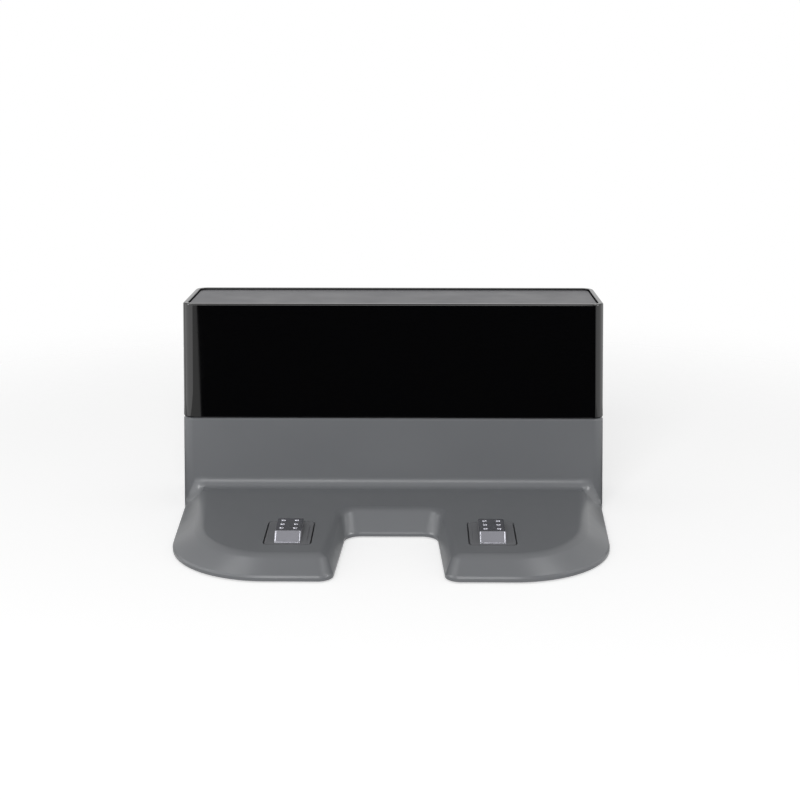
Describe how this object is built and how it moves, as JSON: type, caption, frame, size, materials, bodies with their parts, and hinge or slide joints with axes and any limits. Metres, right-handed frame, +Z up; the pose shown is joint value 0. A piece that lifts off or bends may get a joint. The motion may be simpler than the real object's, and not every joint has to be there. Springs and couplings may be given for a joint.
{
  "type": "robot vacuum charging dock",
  "caption": "Charging dock for a robot vacuum: a low ramp with a caster notch and sprung contact strips, before a flat grey tower with a gloss black beacon window.",
  "frame": {"origin": "middle of the footprint, on the floor", "axes": "+X to the right as seen by the arriving vacuum, -Y out along the ramp, +Z up"},
  "size_m": [0.2166, 0.1482, 0.1083],
  "materials": {
    "shell_grey": "satin moulded grey",
    "window_black": "polished, passes infrared",
    "cover_grey": "satin moulded grey",
    "plate_black": "fine grain",
    "screw_steel": "zinc plated",
    "spring_steel": "plain",
    "inlet_black": "moulded",
    "pin_nickel": "nickel plated",
    "board_laminate": "green solder mask",
    "filter_case": "moulded box",
    "fuse_case": "moulded box",
    "capacitor_sleeve": "shrink sleeve",
    "sink_aluminium": "mill finish",
    "core_ferrite": "sintered",
    "winding_tape": "yellow tape",
    "holder_black": "moulded",
    "strap_brass": "stamped",
    "ribbon_white": "flat cable",
    "carrier_grey": "satin moulded grey",
    "contact_nickel": "nickel plated, brushed",
    "foot_rubber": "die cut strip",
    "emitter_resin": "dark resin"
  },
  "bodies": {
    "dock": {"housing": "shell_grey", "ir_window": "window_black", "top_cover": "cover_grey", "bottom_plate": "plate_black", "foot_pad_front_left": "foot_rubber", "foot_pad_front_right": "foot_rubber", "foot_pad_rear_left": "foot_rubber", "foot_pad_rear_right": "foot_rubber", "base_screws": "screw_steel", "contact_spring_left": "spring_steel", "contact_spring_right": "spring_steel", "power_inlet": "inlet_black", "inlet_pins": "pin_nickel", "power_board": "board_laminate", "line_filter": "filter_case", "fuse": "fuse_case", "output_capacitor": "capacitor_sleeve", "mains_capacitor": "capacitor_sleeve", "heat_sink": "sink_aluminium", "transformer_core": "core_ferrite", "transformer_winding": "winding_tape", "emitter_holder": "holder_black", "emitter_board": "board_laminate", "ir_emitter_far_left": "emitter_resin", "ir_emitter_left": "emitter_resin", "ir_emitter_right": "emitter_resin", "ir_emitter_far_right": "emitter_resin", "contact_strap_left": "strap_brass", "contact_strap_right": "strap_brass", "beacon_ribbon": "ribbon_white"},
    "contact_left": {"contact_carrier_left": "carrier_grey", "contact_plate_left": "contact_nickel"},
    "contact_right": {"contact_carrier_right": "carrier_grey", "contact_plate_right": "contact_nickel"}
  },
  "joints": [
    {"name": "contact_left_press", "type": "slide", "parent": "dock", "child": "contact_left", "axis": [0, 0, -1], "range_m": [0, 0.0022], "stiffness_N_per_m": 900, "springref_m": -0.001, "deforming": ["contact_spring_left"]},
    {"name": "contact_right_press", "type": "slide", "parent": "dock", "child": "contact_right", "axis": [0, 0, -1], "range_m": [0, 0.0022], "stiffness_N_per_m": 900, "springref_m": -0.001, "deforming": ["contact_spring_right"]}
  ]
}
